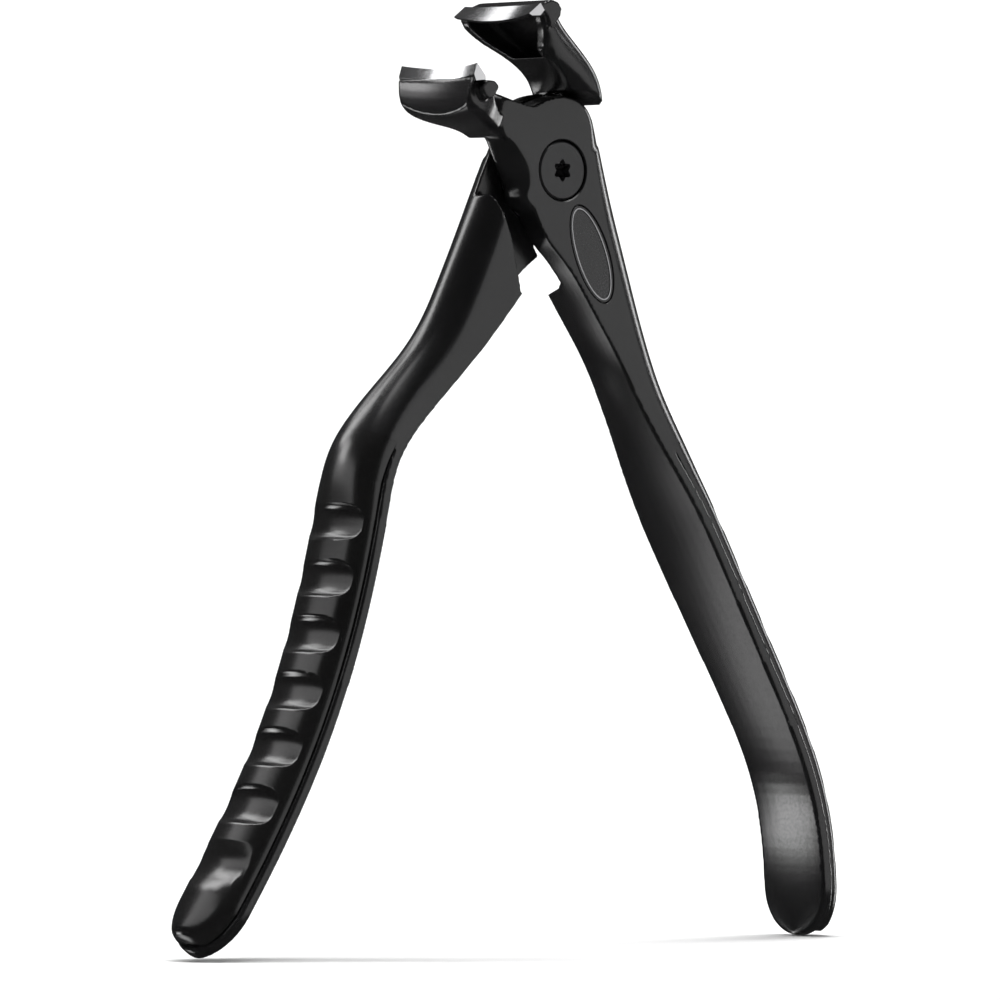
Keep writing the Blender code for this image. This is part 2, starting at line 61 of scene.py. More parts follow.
# Joint, in millimetres. BEYOND lies outside the tool's sides, for tools that cut right through.
BEYOND = 19.0
JOINT_HALF = 7.65
PLATE_FACE = 0.7
LEDGE_RADIUS = 21.4
REAR_LEDGE_RADIUS = 20.7
MOUTH_ANGLE = 142.5
OPEN_ANGLE = 28.4
HEAD_RADIUS = 7.7
HEAD_SET = 0.15
HEAD_THICK = 3.0
HEAD_EDGE = 0.5
COUNTERBORE_DEPTH = 4.0
BORE_RADIUS = 5.8
BORE_REACH = 9.0
CLEARANCE = 0.3
BORE_FLARE = 1.6
BORE_EDGE = 0.25
SHANK_RADIUS = 4.0
TIP_SET = 1.6
NUT_EDGE = 0.35
SLOT_HALF = 0.6
SLOT_DEPTH = 1.2
TURNED_POINTS = 96
ROUND_PART_POINTS = 128
RECESS_RADIUS = 2.45
RECESS_WAVE = 0.42
RECESS_RINGS = ((-0.5, 1.18), (0.12, 1.0), (2.4, 0.95), (4.0, 0.1))

# Blades: profiles as m and n; how far the edge and the back bow towards the pivot; and the
# curve that trims the front jaw's outer wall under its blade.
BLADE_HALF = 15.35
BLADE_SEAT = 0.12
EDGE_SIDE = 2.0
GROUND_TURN = 0.8
EDGE_BOW = {"front": (1.8, 1.8), "rear": (1.6, 0.5)}
FRONT_BLADE = ((44.3, 0.1), (43.3, 3.0), (41.8, 3.9), (39.4, 1.7), (40.2, 0.9))
FRONT_TRIM = ((43.6, 2.7), (43.1, 4.0), (42.0, 5.5), (40.6, 7.1), (39.2, 8.5), (37.5, 10.0),
              (48.0, 10.0), (48.0, 2.7))
REAR_BLADE = ((43.8, 0.1), (44.8, 4.7), (42.6, 5.2), (41.9, 3.4), (42.9, 0.8))

# Arms and grips.
FACE_CROWN = 0.5
ROUND_STEPS = 32
CORE_THICK = 3.0
CORE_CROWN = 0.3
TIP_LEAST = 0.004
PAD_STAND = 0.45
PAD_INSET = 1.0
PAD_SETTLE = 1.2
PAD_LEAST = 0.3
PAD_SHOULDER = 0.2
PAD_SQUARE = 0.18
PAD_END_LOW = 0.25
PAD_END_RISE = 9.0
PAD_END_GAP = 0.06
GROOVE_COUNT = 7
GROOVE_FIRST_Z = -91.5
GROOVE_PITCH = 14.6
GROOVE_HALF = 4.7
GROOVE_REACH = 0.93
GROOVE_DEPTH = 1.7
GROOVE_ENDS = 3.4
GROOVE_SIDES = 5.0
GROOVE_FLANK = 0.75
TONGUE_LENGTH = 13.0
SEAM_SPARE = 0.2
SEAM_GAP = 0.005
SEAM_GROW = 0.8
ARM_STEPS = 8
PAD_STEPS = 70
END_STEPS = 16

# Oval plate: its rings as growth and depth below its top, and its pocket's as growth and depth
# below the joint's face. The bands of faces numbered on the last line carry a bright line, a
# painted highlight in a lighter metal that stands in for light catching the border's edge.
BADGE_CENTRE = (9.9, -21.6)
BADGE_HALF_LENGTH = 13.4
BADGE_HALF_WIDTH = 5.5
BADGE_TILT = -67.0
BADGE_POCKET = 1.0
BADGE_TOP = 0.9
BADGE_RINGS = (
    (0.0, 0.6), (0.0, 0.12), (-0.12, 0.0), (-0.65, 0.0), (-0.8, 0.0), (-0.95, 0.0),
    (-1.15, 0.15), (-1.6, 0.15), (-2.6, 0.15), (-3.6, 0.15), (-4.5, 0.15),
)
BADGE_HIGHLIGHT_BANDS = (3, 4)
POCKET_RINGS = ((1.2, -1.0), (0.25, 0.2), (0.2, BADGE_POCKET))
OVAL_POINTS = 96

# Jaws: wall thickness, the flat on the near rim, and where the hollow starts and stops.
JAW_WALL = 3.2
RIM_FLAT = 0.2
CUP_MOUTH = 0.9
CUP_FIRST = 3.4
CUP_STOP = {"front": 2.2, "rear": 0.8}
LEAST_ROUND = 0.3
EAR_FRONT_BACK = -10.5
EAR_REAR_BACK = -11.5

# The skin that joins forged parts.
VOXEL = 0.4 * MM
SKIN_ROUNDS = 6
LAP_OVER = 0.02

# Handle stations: inner point x, z; outer point x, z; half breadth; flat side height.
FRONT_HANDLE = (
    (-11.6, -5.4, 15.6, 7.0, 7.65, 24.0),
    (-7.1, -16.6, 20.2, -8.2, 7.65, 21.0),
    (0.3, -22.9, 23.4, -17.6, 7.65, 16.0),
    (5.8, -29.4, 26.4, -27.0, 7.65, 13.1),
    (11.7, -38.2, 29.7, -37.2, 7.65, 10.4),
    (19.1, -48.2, 33.1, -46.6, 7.65, 6.6),
    (24.3, -58.1, 36.9, -56.0, 7.9, 5.3),
    (30.0, -68.1, 41.5, -65.2, 9.2, 4.6),
    (35.7, -78.0, 46.2, -74.6, 11.2, 3.8),
    (41.8, -88.2, 51.2, -84.8, 12.8, 3.2),
    (47.4, -98.2, 56.3, -94.8, 13.2, 3.0),
    (64.9, -128.4, 73.2, -124.4, 12.4, 3.0),
    (81.0, -155.6, 89.6, -152.4, 11.7, 3.0),
    (86.6, -178.0, 95.8, -177.2, 12.2, 3.0),
    (86.8, -201.3, 95.6, -202.2, 12.2, 3.0),
)
REAR_HANDLE = (
    (-1.4, -21.8, -17.6, 4.5, 7.65, 23.0),
    (-8.1, -26.3, -26.6, -14.4, 7.65, 14.4),
    (-15.6, -34.4, -33.6, -28.4, 7.65, 11.3),
    (-24.2, -44.1, -38.0, -37.0, 7.65, 8.0),
    (-32.4, -51.9, -43.8, -45.0, 7.65, 5.7),
    (-40.8, -59.7, -51.8, -52.6, 7.65, 5.4),
    (-49.8, -67.4, -61.2, -61.6, 8.8, 5.2),
    (-56.8, -75.0, -68.0, -70.6, 10.4, 4.6),
    (-60.2, -83.0, -70.8, -81.0, 11.6, 3.4),
    (-62.3, -92.0, -71.9, -90.2, 12.2, 3.0),
    (-68.7, -117.0, -78.0, -114.4, 12.3, 3.0),
    (-80.0, -147.4, -89.0, -143.2, 11.7, 3.0),
    (-97.5, -177.4, -106.0, -172.0, 12.0, 3.0),
    (-114.2, -201.0, -121.6, -195.6, 12.0, 3.0),
)

# The stations where the grip pads start.
FRONT_SEAM = 7.4
REAR_SEAM = 6.6

# Jaw stations: rim m, n; back m, n; near and far y; near rim's reach towards the mouth;
# radii of the near and far corners of the back; crown of the back between them; bulge of
# the near side.
FRONT_JAW = (
    (12.0, -1.0, 13.0, 6.0, -5.0, 7.5, 0.0, 2.0, 2.0, 0.0, 0.0),
    (22.0, 0.6, 21.2, 5.4, -6.2, 7.5, 0.0, 2.0, 2.0, 0.0, 0.0),
    (26.5, 2.2, 25.8, 6.4, -9.0, 9.4, 0.0, 2.5, 2.5, 0.4, 0.0),
    (30.5, 2.6, 29.8, 7.9, -11.4, 13.4, 0.1, 2.5, 2.5, 0.8, 0.0),
    (34.2, 1.6, 34.0, 9.1, -12.2, 15.2, 0.2, 2.5, 2.0, 1.0, 0.0),
    (36.8, 1.0, 37.0, 9.2, -12.6, 15.35, 0.15, 2.0, 1.2, 0.8, 0.0),
    (39.0, 1.2, 39.5, 8.4, -12.8, 15.35, 0.05, 1.6, 1.0, 0.6, 0.0),
    (40.6, 1.6, 41.1, 6.7, -13.6, 15.35, 0.0, 1.0, 0.8, 0.5, 0.0),
    (41.6, 2.1, 42.2, 5.4, -15.35, 15.35, 0.0, 0.8, 0.8, 0.4, 0.0),
    (42.3, 3.2, 43.3, 4.0, -15.35, 15.35, 0.0, 0.5, 0.5, 0.0, 0.0),
)
REAR_JAW = (
    (10.0, 9.0, 4.0, 15.0, -8.5, 7.5, 0.0, 2.0, 2.0, 0.0, 0.0),
    (18.4, 10.4, 9.0, 17.4, -12.4, 7.5, 0.3, 4.5, 2.5, 0.0, 0.2),
    (23.3, 9.7, 15.0, 18.7, -13.2, 7.5, 0.5, 5.0, 3.5, 0.0, 0.5),
    (27.5, 7.8, 20.4, 18.4, -13.3, 8.6, 0.45, 5.0, 4.0, 0.3, 0.7),
    (31.6, 5.6, 26.0, 16.6, -13.3, 10.8, 0.3, 5.0, 4.5, 0.3, 0.8),
    (34.6, 3.8, 31.0, 14.5, -13.2, 13.0, 0.05, 4.5, 4.5, 0.2, 0.7),
    (37.4, 2.6, 35.2, 12.9, -13.0, 14.2, -0.2, 4.0, 4.2, 0.0, 0.5),
    (39.6, 1.6, 38.2, 12.0, -12.8, 15.0, -0.35, 3.0, 4.0, 0.0, 0.3),
    (42.6, 1.2, 42.0, 11.4, -13.4, 15.35, -0.38, 3.0, 3.0, 0.0, 0.0),
    (44.0, 4.9, 43.9, 9.4, -15.2, 15.2, 0.0, 0.6, 1.0, 0.0, 0.0),
)

# Flat ears on the near side of the jaws, and the shelf line under the rear jaw, as x and z.
FRONT_EAR = (
    (38.9, 1.3), (36.6, -0.1), (34.7, 0.1), (34.4, 1.5), (34.5, 4.2), (35.5, 5.0),
    (37.3, 5.0), (39.3, 4.2),
)
REAR_EAR = (
    (-14.2, 42.4), (-10.4, 43.8), (-7.8, 43.2), (-6.6, 41.5), (-7.0, 39.7), (-8.8, 37.5),
    (-10.6, 36.3), (-11.4, 38.9), (-12.4, 40.4), (-14.2, 40.5),
)
REAR_SHELF = (
    (-9.3, 31.7), (-7.3, 27.7), (-4.7, 24.2), (-2.1, 22.8), (2.1, 21.4), (6.8, 18.2),
    (9.5, 14.0), (9.5, 6.0), (-22.0, 6.0), (-22.0, 31.7),
)
SHELF_LEVEL = -14.0
SHELF_SPAN = (-20.0, -8.8)

# Half-lap plates as x and z around the outline, with the radius of the outer edge there,
# and the rear arm's shoulder as x and z.
FRONT_PLATE = (
    (-10.4, 16.6, 0.3), (-16.0, 18.2, 1.0), (-22.4, 20.4, 4.5), (-25.0, 17.0, 6.0),
    (-24.2, 10.6, 6.0), (-21.2, 8.6, 6.0), (-18.6, 3.6, 7.0), (-16.2, -1.0, 5.6),
    (-14.6, -5.0, 4.0), (-13.8, -9.0, 2.5), (-4.0, -12.0, 0.0), (12.0, -6.0, 0.0),
    (16.4, 4.0, 7.3), (15.2, 8.0, 7.0), (14.0, 11.6, 6.4), (12.4, 15.0, 5.2),
    (9.6, 17.8, 3.4), (5.6, 19.3, 1.4), (1.0, 19.7, 0.6), (-3.4, 18.9, 0.3),
    (-7.4, 17.6, 0.3),
)
REAR_PLATE = (
    (18.8, 4.0, 0.8), (16.4, 10.0, 0.8), (12.0, 15.0, 0.8), (6.0, 18.6, 0.8),
    (0.0, 20.0, 1.0), (-5.4, 19.2, 1.6), (-9.6, 17.0, 3.0), (-12.4, 14.0, 5.0),
    (-14.4, 10.0, 6.6), (-17.6, 3.6, 7.3), (-21.4, -4.0, 7.3), (-20.0, -12.0, 3.0),
    (-12.0, -17.0, 0.0), (-4.0, -18.8, 0.8), (4.0, -18.8, 0.8), (12.0, -14.8, 0.8),
    (17.0, -8.4, 0.8), (19.2, -2.0, 0.8),
)
REAR_SHOULDER = (
    (-40.0, 12.0), (-23.6, -6.9), (-21.4, -6.3), (-17.0, -17.9), (-14.3, -29.6),
    (-13.9, -32.0), (0.0, -32.0), (40.0, -10.0), (40.0, 12.0), (10.0, 21.0), (-20.0, 21.0),
)

# The front arm's shoulder as radius and y, turned about the pivot.
FRONT_SHOULDER = ((29.3, -PLATE_FACE), (31.0, 1.5), (36.4, BEYOND))

# Materials: darker and lighter colour, range of roughness, metallic, relief, grain size.
LOOKS = {
    "black_coating": ((0.006, 0.006, 0.0065), (0.010, 0.010, 0.0105), (0.20, 0.27), 0.0,
                      0.06, 1400.0),
    "grip_polymer": ((0.006, 0.006, 0.006), (0.009, 0.009, 0.009), (0.20, 0.27), 0.0,
                     0.05, 1800.0),
    "ground_steel": ((0.50, 0.50, 0.51), (0.58, 0.58, 0.59), (0.13, 0.19), 1.0, 0.10, 2600.0),
    "black_oxide": ((0.012, 0.012, 0.013), (0.02, 0.02, 0.021), (0.28, 0.38), 0.0, 0.12, 1600.0),
    "bronze": ((0.45, 0.29, 0.11), (0.60, 0.42, 0.18), (0.3, 0.45), 1.0, 0.2, 900.0),
    "washer_steel": ((0.30, 0.30, 0.31), (0.42, 0.42, 0.43), (0.3, 0.4), 1.0, 0.2, 900.0),
    "badge_enamel": ((0.012, 0.012, 0.013), (0.02, 0.02, 0.021), (0.24, 0.30), 0.0,
                     0.08, 1600.0),
    # Painted highlight: a lighter metal for the bright line on the badge's border.
    "painted_rim_highlight": ((0.34, 0.34, 0.35), (0.44, 0.44, 0.45), (0.3, 0.38), 1.0, 0.05, 1600.0),
    "white_sweep": ((0.86, 0.86, 0.86), (0.88, 0.88, 0.88), (0.22, 0.28), 0.0, 0.0, 40.0),
}
GRAIN_STRETCH = {"ground_steel": (1.0, 0.2, 1.0)}
SPECULAR = {"white_sweep": 0.0}
BROAD_SCALE = 60.0
RELIEF_DEPTH = 0.0001
NOISE_LOW = 0.3
NOISE_HIGH = 0.7

# Sharp edges, in degrees between faces.
SHARP = 38.0
SHARP_PAD = 50.0
SHARP_BLADE = 20.0
SHARP_BADGE = 25.0

# Studio, in metres and degrees. The camera is shifted from the pivot. Places are to the right
# of, behind and above STUDIO_MIDDLE as the camera sees them. Each light has a place, the point
# it faces, its two sides and its power.
CAMERA_SHIFT = Vector((-1.6699, -1.9935, -0.0692))
CAMERA_TURN = 39.7
CAMERA_PITCH = 0.36
STUDIO_MIDDLE = Vector((0.0, 0.0, 0.13))
SWEEP_FRONT = -3.0
SWEEP_FLAT = 0.8
SWEEP_ROUND = 0.8
SWEEP_TOP = 3.0
SWEEP_HALF = 2.5
SURROUNDING = 0.05
CENTRE = (0.0, 0.0, 0.0)
LIGHTS = {
    "top_box": ((0.15, 0.0, 0.95), CENTRE, (0.7, 0.7), 6.0),
    "right_box": ((1.3, -0.25, 0.15), CENTRE, (0.8, 1.0), 2.6),
    "rim_strip": ((0.95, 0.62, 0.1), CENTRE, (0.22, 1.2), 6.5),
    "left_sheet": ((-0.34, 0.125, 0.34), CENTRE, (0.13, 0.29), 0.74),
    "bend_card": ((-0.22, -0.02, 0.11), CENTRE, (0.06, 0.06), 0.075),
    "left_wall": ((-0.36, -0.1, 0.14), CENTRE, (0.36, 0.1), 0.2),
    "back_box": ((-0.61, 0.6, 0.7), CENTRE, (0.26, 0.26), 0.5),
    "low_panel": ((-0.84, 0.22, -0.40), CENTRE, (0.26, 0.24), 1.9),
    "under_panel": ((-0.40, 0.21, -0.48), CENTRE, (0.2, 0.14), 0.24),
    "wall_wash": ((0.0, 0.4, 1.6), (0.0, 1.6, 0.3), (1.2, 0.5), 35.0),
}


def world(x, z, y):
    """A point in metres in the frame, from millimetres about the pivot."""
    return PIVOT + Vector((x, y, z)) * MM


def jaw_point(side, m, n, y):
    """A point of a jaw: m along its mouth plane from the pivot, n away from that plane."""
    angle = math.radians(MOUTH_ANGLE if side == "front" else MOUTH_ANGLE - OPEN_ANGLE)
    turn = 1.0 if side == "front" else -1.0
    x = m * math.cos(angle) - turn * n * math.sin(angle)
    z = m * math.sin(angle) + turn * n * math.cos(angle)
    return world(x, z, y)


def new_object(name, bm):
    """Turn a bmesh into an object with its normals facing out."""
    bmesh.ops.recalc_face_normals(bm, faces=bm.faces)
    mesh = bpy.data.meshes.new(name)
    bm.to_mesh(mesh)
    bm.free()
    obj = bpy.data.objects.new(name, mesh)
    bpy.context.scene.collection.objects.link(obj)
    return obj


def loft(name, rings):
    """Skin a list of closed rings with the same number of points, and cap both ends."""
    bm = bmesh.new()
    loops = [[bm.verts.new(point) for point in ring] for ring in rings]
    for low, high in zip(loops, loops[1:]):
        for i in range(len(low)):
            j = (i + 1) % len(low)
            bm.faces.new((low[i], low[j], high[j], high[i]))
    bm.faces.new(list(reversed(loops[0])))
    bm.faces.new(loops[-1])
    return new_object(name, bm)


def prism(name, outline, y_low, y_high):
    """An outline of (x, z) points extruded through the joint."""
    rings = [[world(x, z, y) for x, z in outline] for y in (y_low, y_high)]
    return loft(name, rings)


def turned(name, profile, count=TURNED_POINTS):
    """A closed profile of (radius, y) points turned about the pivot axis."""
    bm = bmesh.new()
    rings = []
    for k in range(count):
        angle = 2 * math.pi * k / count
        ring = []
        for r, y in profile:
            ring.append(bm.verts.new(world(r * math.cos(angle), r * math.sin(angle), y)))
        rings.append(ring)
    last = len(profile)
    for a, b in zip(rings, rings[1:] + rings[:1]):
        for i in range(last):
            j = (i + 1) % last
            bm.faces.new((a[i], a[j], b[j], b[i]))
    bmesh.ops.remove_doubles(bm, verts=bm.verts, dist=1e-6)
    bmesh.ops.dissolve_degenerate(bm, edges=bm.edges, dist=1e-7)
    return new_object(name, bm)


def applied(obj):
    """Bake an object's modifiers into its mesh."""
    graph = bpy.context.evaluated_depsgraph_get()
    mesh = bpy.data.meshes.new_from_object(obj.evaluated_get(graph))
    obj.modifiers.clear()
    obj.data = mesh
    return obj


def cut(target, tool, operation="DIFFERENCE"):
    """Cut a tool from a target, or join it, and remove the tool."""
    modifier = target.modifiers.new("Cut", "BOOLEAN")
    modifier.operation = operation
    modifier.object = tool
    modifier.solver = "MANIFOLD"
    applied(target)
    bpy.data.objects.remove(tool, do_unlink=True)
    return target


def forged(name, parts):
    """Merge closed parts into one skin whose joins and edges are softly rounded."""
    bm = bmesh.new()
    for part in parts:
        bm.from_mesh(part.data)
        bpy.data.objects.remove(part, do_unlink=True)
    mesh = bpy.data.meshes.new(name)
    bm.to_mesh(mesh)
    bm.free()
    obj = bpy.data.objects.new(name, mesh)
    bpy.context.scene.collection.objects.link(obj)
    remesh = obj.modifiers.new("Skin", "REMESH")
    remesh.mode = "VOXEL"
    remesh.voxel_size = VOXEL
    smooth = obj.modifiers.new("Smooth", "SMOOTH")
    smooth.factor = 0.5
    smooth.iterations = SKIN_ROUNDS
    return applied(obj)


def spline_row(rows, t):
    """A row of numbers from a smooth cubic B-spline through the rows' neighbourhood."""
    last = len(rows) - 1
    k = min(max(int(t), 0), last - 1)
    f = t - k

    def row(i):
        if i < 0:
            return [2 * p - q for p, q in zip(rows[0], rows[1])]
        if i > last:
            return [2 * p - q for p, q in zip(rows[last], rows[last - 1])]
        return rows[i]

    weights = (
        (1 - f) ** 3 / 6,
        (3 * f ** 3 - 6 * f ** 2 + 4) / 6,
        (-3 * f ** 3 + 3 * f ** 2 + 3 * f + 1) / 6,
        f ** 3 / 6,
    )
    four = [row(k + i) for i in (-1, 0, 1, 2)]
    return [sum(w * r[i] for w, r in zip(weights, four)) for i in range(len(rows[0]))]


def steps(start, end, per_unit):
    """Evenly spaced stations from start to end."""
    count = max(2, round((end - start) * per_unit))
    return [start + (end - start) * i / count for i in range(count + 1)]


def tongue(rows, t, b):
    """Half breadth of a handle, rounded to a tongue over its last stretch."""
    xi, zi = spline_row(rows, t)[:2]
    xe, ze = rows[-1][:2]
    left = math.hypot(xe - xi, ze - zi)
    if left >= TONGUE_LENGTH:
        return b
    f = 1.0 - left / TONGUE_LENGTH
    return b * math.sqrt(max(1.0 - f ** 2, TIP_LEAST))


def end_steps(last, start):
    """Stations that crowd together towards a handle's rounded end."""
    shares = [math.sin(math.pi / 2 * k / END_STEPS) for k in range(END_STEPS + 1)]
    return [start + (last - start) * share for share in shares]


def handle_ring(rows, t, core):
    """A lever's cross-section: flat inner face, flat sides and a rounded outer side."""
    xi, zi, xo, zo, b, side = spline_row(rows, t)
    thick = math.hypot(xo - xi, zo - zi)
    ux, uz = (xo - xi) / thick, (zo - zi) / thick
    b = tongue(rows, t, b)
    if core:
        side, thick = CORE_THICK, CORE_THICK + CORE_CROWN
    shares = [k / 4 - 1.0 for k in range(9)]
    ring = [(b * share, -FACE_CROWN * (1 - share ** 2)) for share in shares]
    for k in range(ROUND_STEPS + 1):
        angle = math.pi * k / ROUND_STEPS
        ring.append((b * math.cos(angle), side + (thick - side) * math.sin(angle)))
    return [world(xi + ux * n, zi + uz * n, y) for y, n in ring]


def scoop(z, across):
    """Depth of the finger grooves at a height and at a share of the half breadth."""
    for k in range(GROOVE_COUNT):
        along = abs(z - (GROOVE_FIRST_Z - k * GROOVE_PITCH)) / GROOVE_HALF
        edge = along ** GROOVE_ENDS + (abs(across) / GROOVE_REACH) ** GROOVE_SIDES
        if edge < 1.0:
            return GROOVE_DEPTH * (1.0 - edge) ** GROOVE_FLANK
    return 0.0


def pad_ring(rows, t, start, grow=0.0):
    """A grip pad's cross-section, standing on the tang's outer side; grow widens it."""
    xi, zi, xo, zo, b, side = spline_row(rows, t)
    thick = math.hypot(xo - xi, zo - zi)
    ux, uz = (xo - xi) / thick, (zo - zi) / thick
    settle = min(1.0, (t - start) / PAD_SETTLE)
    b = tongue(rows, t, b) - PAD_INSET * settle
    b = max(b, PAD_LEAST) + grow
    thick += grow
    base = CORE_THICK + PAD_STAND
    side = max(side, base + PAD_SHOULDER)
    power = 1.0 - PAD_SQUARE * settle
    fade = min(1.0, PAD_END_LOW + b / PAD_END_RISE)
    ring = [(b, base)]
    for k in range(2 * ROUND_STEPS + 1):
        angle = math.pi * k / (2 * ROUND_STEPS)
        share = math.cos(angle)
        height = side + (thick - side) * math.sin(angle) ** power
        down = scoop((zi + zo) / 2, share) * settle
        height = base + (height - base) * fade - down * fade
        ring.append((b * share, height))
    ring.append((-b, base))
    return [world(xi + ux * n, zi + uz * n, y) for y, n in ring]


def make_arm(rows, seam):
    """The arm and the tang of one lever as closed parts."""
    last = len(rows) - 1
    stations = steps(0.0, seam + SEAM_SPARE, ARM_STEPS)
    arm = loft("arm", [handle_ring(rows, t, False) for t in stations])
    stations = steps(seam - 0.5, last - 1.0, ARM_STEPS) + end_steps(last, last - 1.0)[1:]
    tang = loft("tang", [handle_ring(rows, t, True) for t in stations])
    return [arm, tang]


def seat_pad(lever, rows, seam):
    """Cut the end of a lever's arm square where its grip pad starts."""
    stations = steps(seam, seam + 1.5 * SEAM_SPARE, 5 * ARM_STEPS)
    return cut(lever, loft("seat", [pad_ring(rows, t, seam, SEAM_GROW) for t in stations]))


def make_pad(name, rows, seam):
    """The grip pad of one lever, with its finger grooves."""
    last = len(rows) - 1
    start = seam + SEAM_GAP
    stations = steps(start, last - 1.0, PAD_STEPS)
    stations += end_steps(last - PAD_END_GAP, last - 1.0)[1:]
    return loft(name, [pad_ring(rows, t, start) for t in stations])


def corner_arc(y_side, turn, corner, end, bend):
    """The rounded corner between a jaw's side wall and its back, from the wall to the back."""
    arc = []
    for k in range(9):
        angle = math.pi / 2 * k / 8
        y = y_side + turn * corner * (1 - math.cos(angle))
        arc.append((y, end - bend * (1 - math.sin(angle))))
    return arc


def jaw_ring(side, row, wall=0.0):
    """A jaw's cross-section: two side walls and a crowned back; wall insets it."""
    rim_m, rim_n, back_m, back_n, near, far, reach, near_round, far_round, crown, bulge = row
    deep = math.hypot(back_m - rim_m, back_n - rim_n)
    near, far = near + wall, far - wall
    end = 1.0 - wall / deep
    start = -CUP_MOUTH if wall else -reach
    if wall:
        bulge = 0.0
    most = min((far - near) / 3, deep * 0.6)
    near_corner = max(min(near_round, most) - wall / 3, LEAST_ROUND)
    far_corner = max(min(far_round, most) - wall / 3, LEAST_ROUND)
    side_end = end - near_corner / deep
    ring = [(near, start)]
    for share in (k / 8 for k in range(1, 8)):
        y = near - 4.0 * share * (1.0 - share) * bulge
        ring.append((y, start + (side_end - start) * share))
    ring += corner_arc(near, 1.0, near_corner, end, near_corner / deep)
    first, last = near + near_corner, far - far_corner
    for share in (k / 12 for k in range(1, 12)):
        rise = 4.0 * share * (1.0 - share) * crown / deep
        ring.append((first + (last - first) * share, end + rise))
    ring += reversed(corner_arc(far, -1.0, far_corner, end, far_corner / deep))
    ring.append((far, start if wall else 0.0))
    if not wall:
        ring.append((near + JAW_WALL + RIM_FLAT, 0.0))
        ring.append((near + JAW_WALL, start))
    points = []
    for y, f in ring:
        m = rim_m + (back_m - rim_m) * f
        n = rim_n + (back_n - rim_n) * f
        points.append(jaw_point(side, m, n, y))
    return points


def make_jaw(side, rows, lap):
    """A jaw from the joint to its tip, hollow between its side walls."""
    last = len(rows) - 1
    jaw = loft("jaw", [jaw_ring(side, spline_row(rows, t)) for t in steps(0.0, last, ARM_STEPS)])
    stations = steps(CUP_FIRST, last - CUP_STOP[side], ARM_STEPS)
    cup = loft("cup", [jaw_ring(side, spline_row(rows, t), JAW_WALL) for t in stations])
    cut(jaw, cup)
    cut(jaw, lap)
    return jaw


def blade_rings(side, profile, grow=0.0):
    """Sections of a blade from one end to the other, with the edge bowed between them."""
    rings = []
    middle_m = sum(m for m, _ in profile) / len(profile)
    middle_n = sum(n for _, n in profile) / len(profile)
    edge_bow, back_bow = EDGE_BOW[side]
    for k in range(33):
        y = BLADE_HALF * (k / 16 - 1.0)
        across = 1.0 - (y / BLADE_HALF) ** 2
        ring = []
        for m, n in profile:
            bow = (edge_bow if n < EDGE_SIDE else back_bow) * across
            scale = 1.0 + grow / math.hypot(m - middle_m, n - middle_n)
            place = (middle_m + (m - middle_m) * scale, middle_n + (n - middle_n) * scale)
            ring.append(jaw_point(side, place[0] - bow, place[1], y * (1 + grow / 3)))
        rings.append(ring)
    return rings


def ground(side, normal):
    """Whether a blade's face is left bright: its outer bevel and its two ends."""
    outward = (jaw_point(side, 1.0, 0.0, 0.0) - jaw_point(side, 0.0, 0.0, 0.0)).normalized()
    return normal.dot(outward) > GROUND_TURN or abs(normal.y) > GROUND_TURN


def make_plate(outline, y_inner, y_face):
    """A half-lap plate whose outer edge rounds over towards its face."""
    rings = []
    for k in range(13):
        y = y_inner + (y_face - y_inner) * math.sin(math.pi / 2 * k / 12)
        over = 1.0 - math.sqrt(max(1.0 - (y / JOINT_HALF) ** 2, 0.0))
        ring = []
        for t in range(len(outline) * 4):
            x, z, radius = loop_point(outline, t / 4)
            keep = 1.0 - over * radius / math.hypot(x, z)
            ring.append(world(x * keep, z * keep, y))
        rings.append(ring)
    return loft("plate", rings)


def loop_point(outline, t):
    """A point of a closed outline, rounded with a Catmull-Rom curve."""
    count = len(outline)
    k = int(t)
    f = t - k
    a, b, c, d = (outline[(k + i) % count] for i in (-1, 0, 1, 2))
    result = []
    for p, q, r, s in zip(a, b, c, d):
        cubic = 2 * q + (r - p) * f + (2 * p - 5 * q + 4 * r - s) * f * f
        result.append((cubic + (3 * q - p - 3 * r + s) * f ** 3) / 2)
    return result


def oval(grow, y):
    """The oval plate's outline at a depth, grown by a margin."""
    tilt = math.radians(BADGE_TILT)
    points = []
    for k in range(OVAL_POINTS):
        angle = 2 * math.pi * k / OVAL_POINTS
        a = (BADGE_HALF_LENGTH + grow) * math.cos(angle)
        b = (BADGE_HALF_WIDTH + grow) * math.sin(angle)
        x = BADGE_CENTRE[0] + a * math.cos(tilt) - b * math.sin(tilt)
        z = BADGE_CENTRE[1] + a * math.sin(tilt) + b * math.cos(tilt)
        points.append(world(x, z, y))
    return points


def bore(side):
    """The pivot bore with its counterbore and a small chamfer."""
    floor, wide = JOINT_HALF - COUNTERBORE_DEPTH, HEAD_RADIUS + CLEARANCE
    turn = -1.0 if side == "front" else 1.0
    profile = [(0.0, BORE_REACH), (wide + BORE_FLARE, BORE_REACH), (wide, JOINT_HALF - BORE_EDGE),
               (wide, floor), (BORE_RADIUS, floor), (BORE_RADIUS, -BORE_REACH),
               (0.0, -BORE_REACH)]
    return turned("bore", [(r, y * turn) for r, y in profile])


def lap_disc(radius, y_low, y_high):
    """The disc that clears one side of the joint for the other lever's plate."""
    return turned("lap", [(0.0, y_low), (radius, y_low), (radius, y_high), (0.0, y_high)])


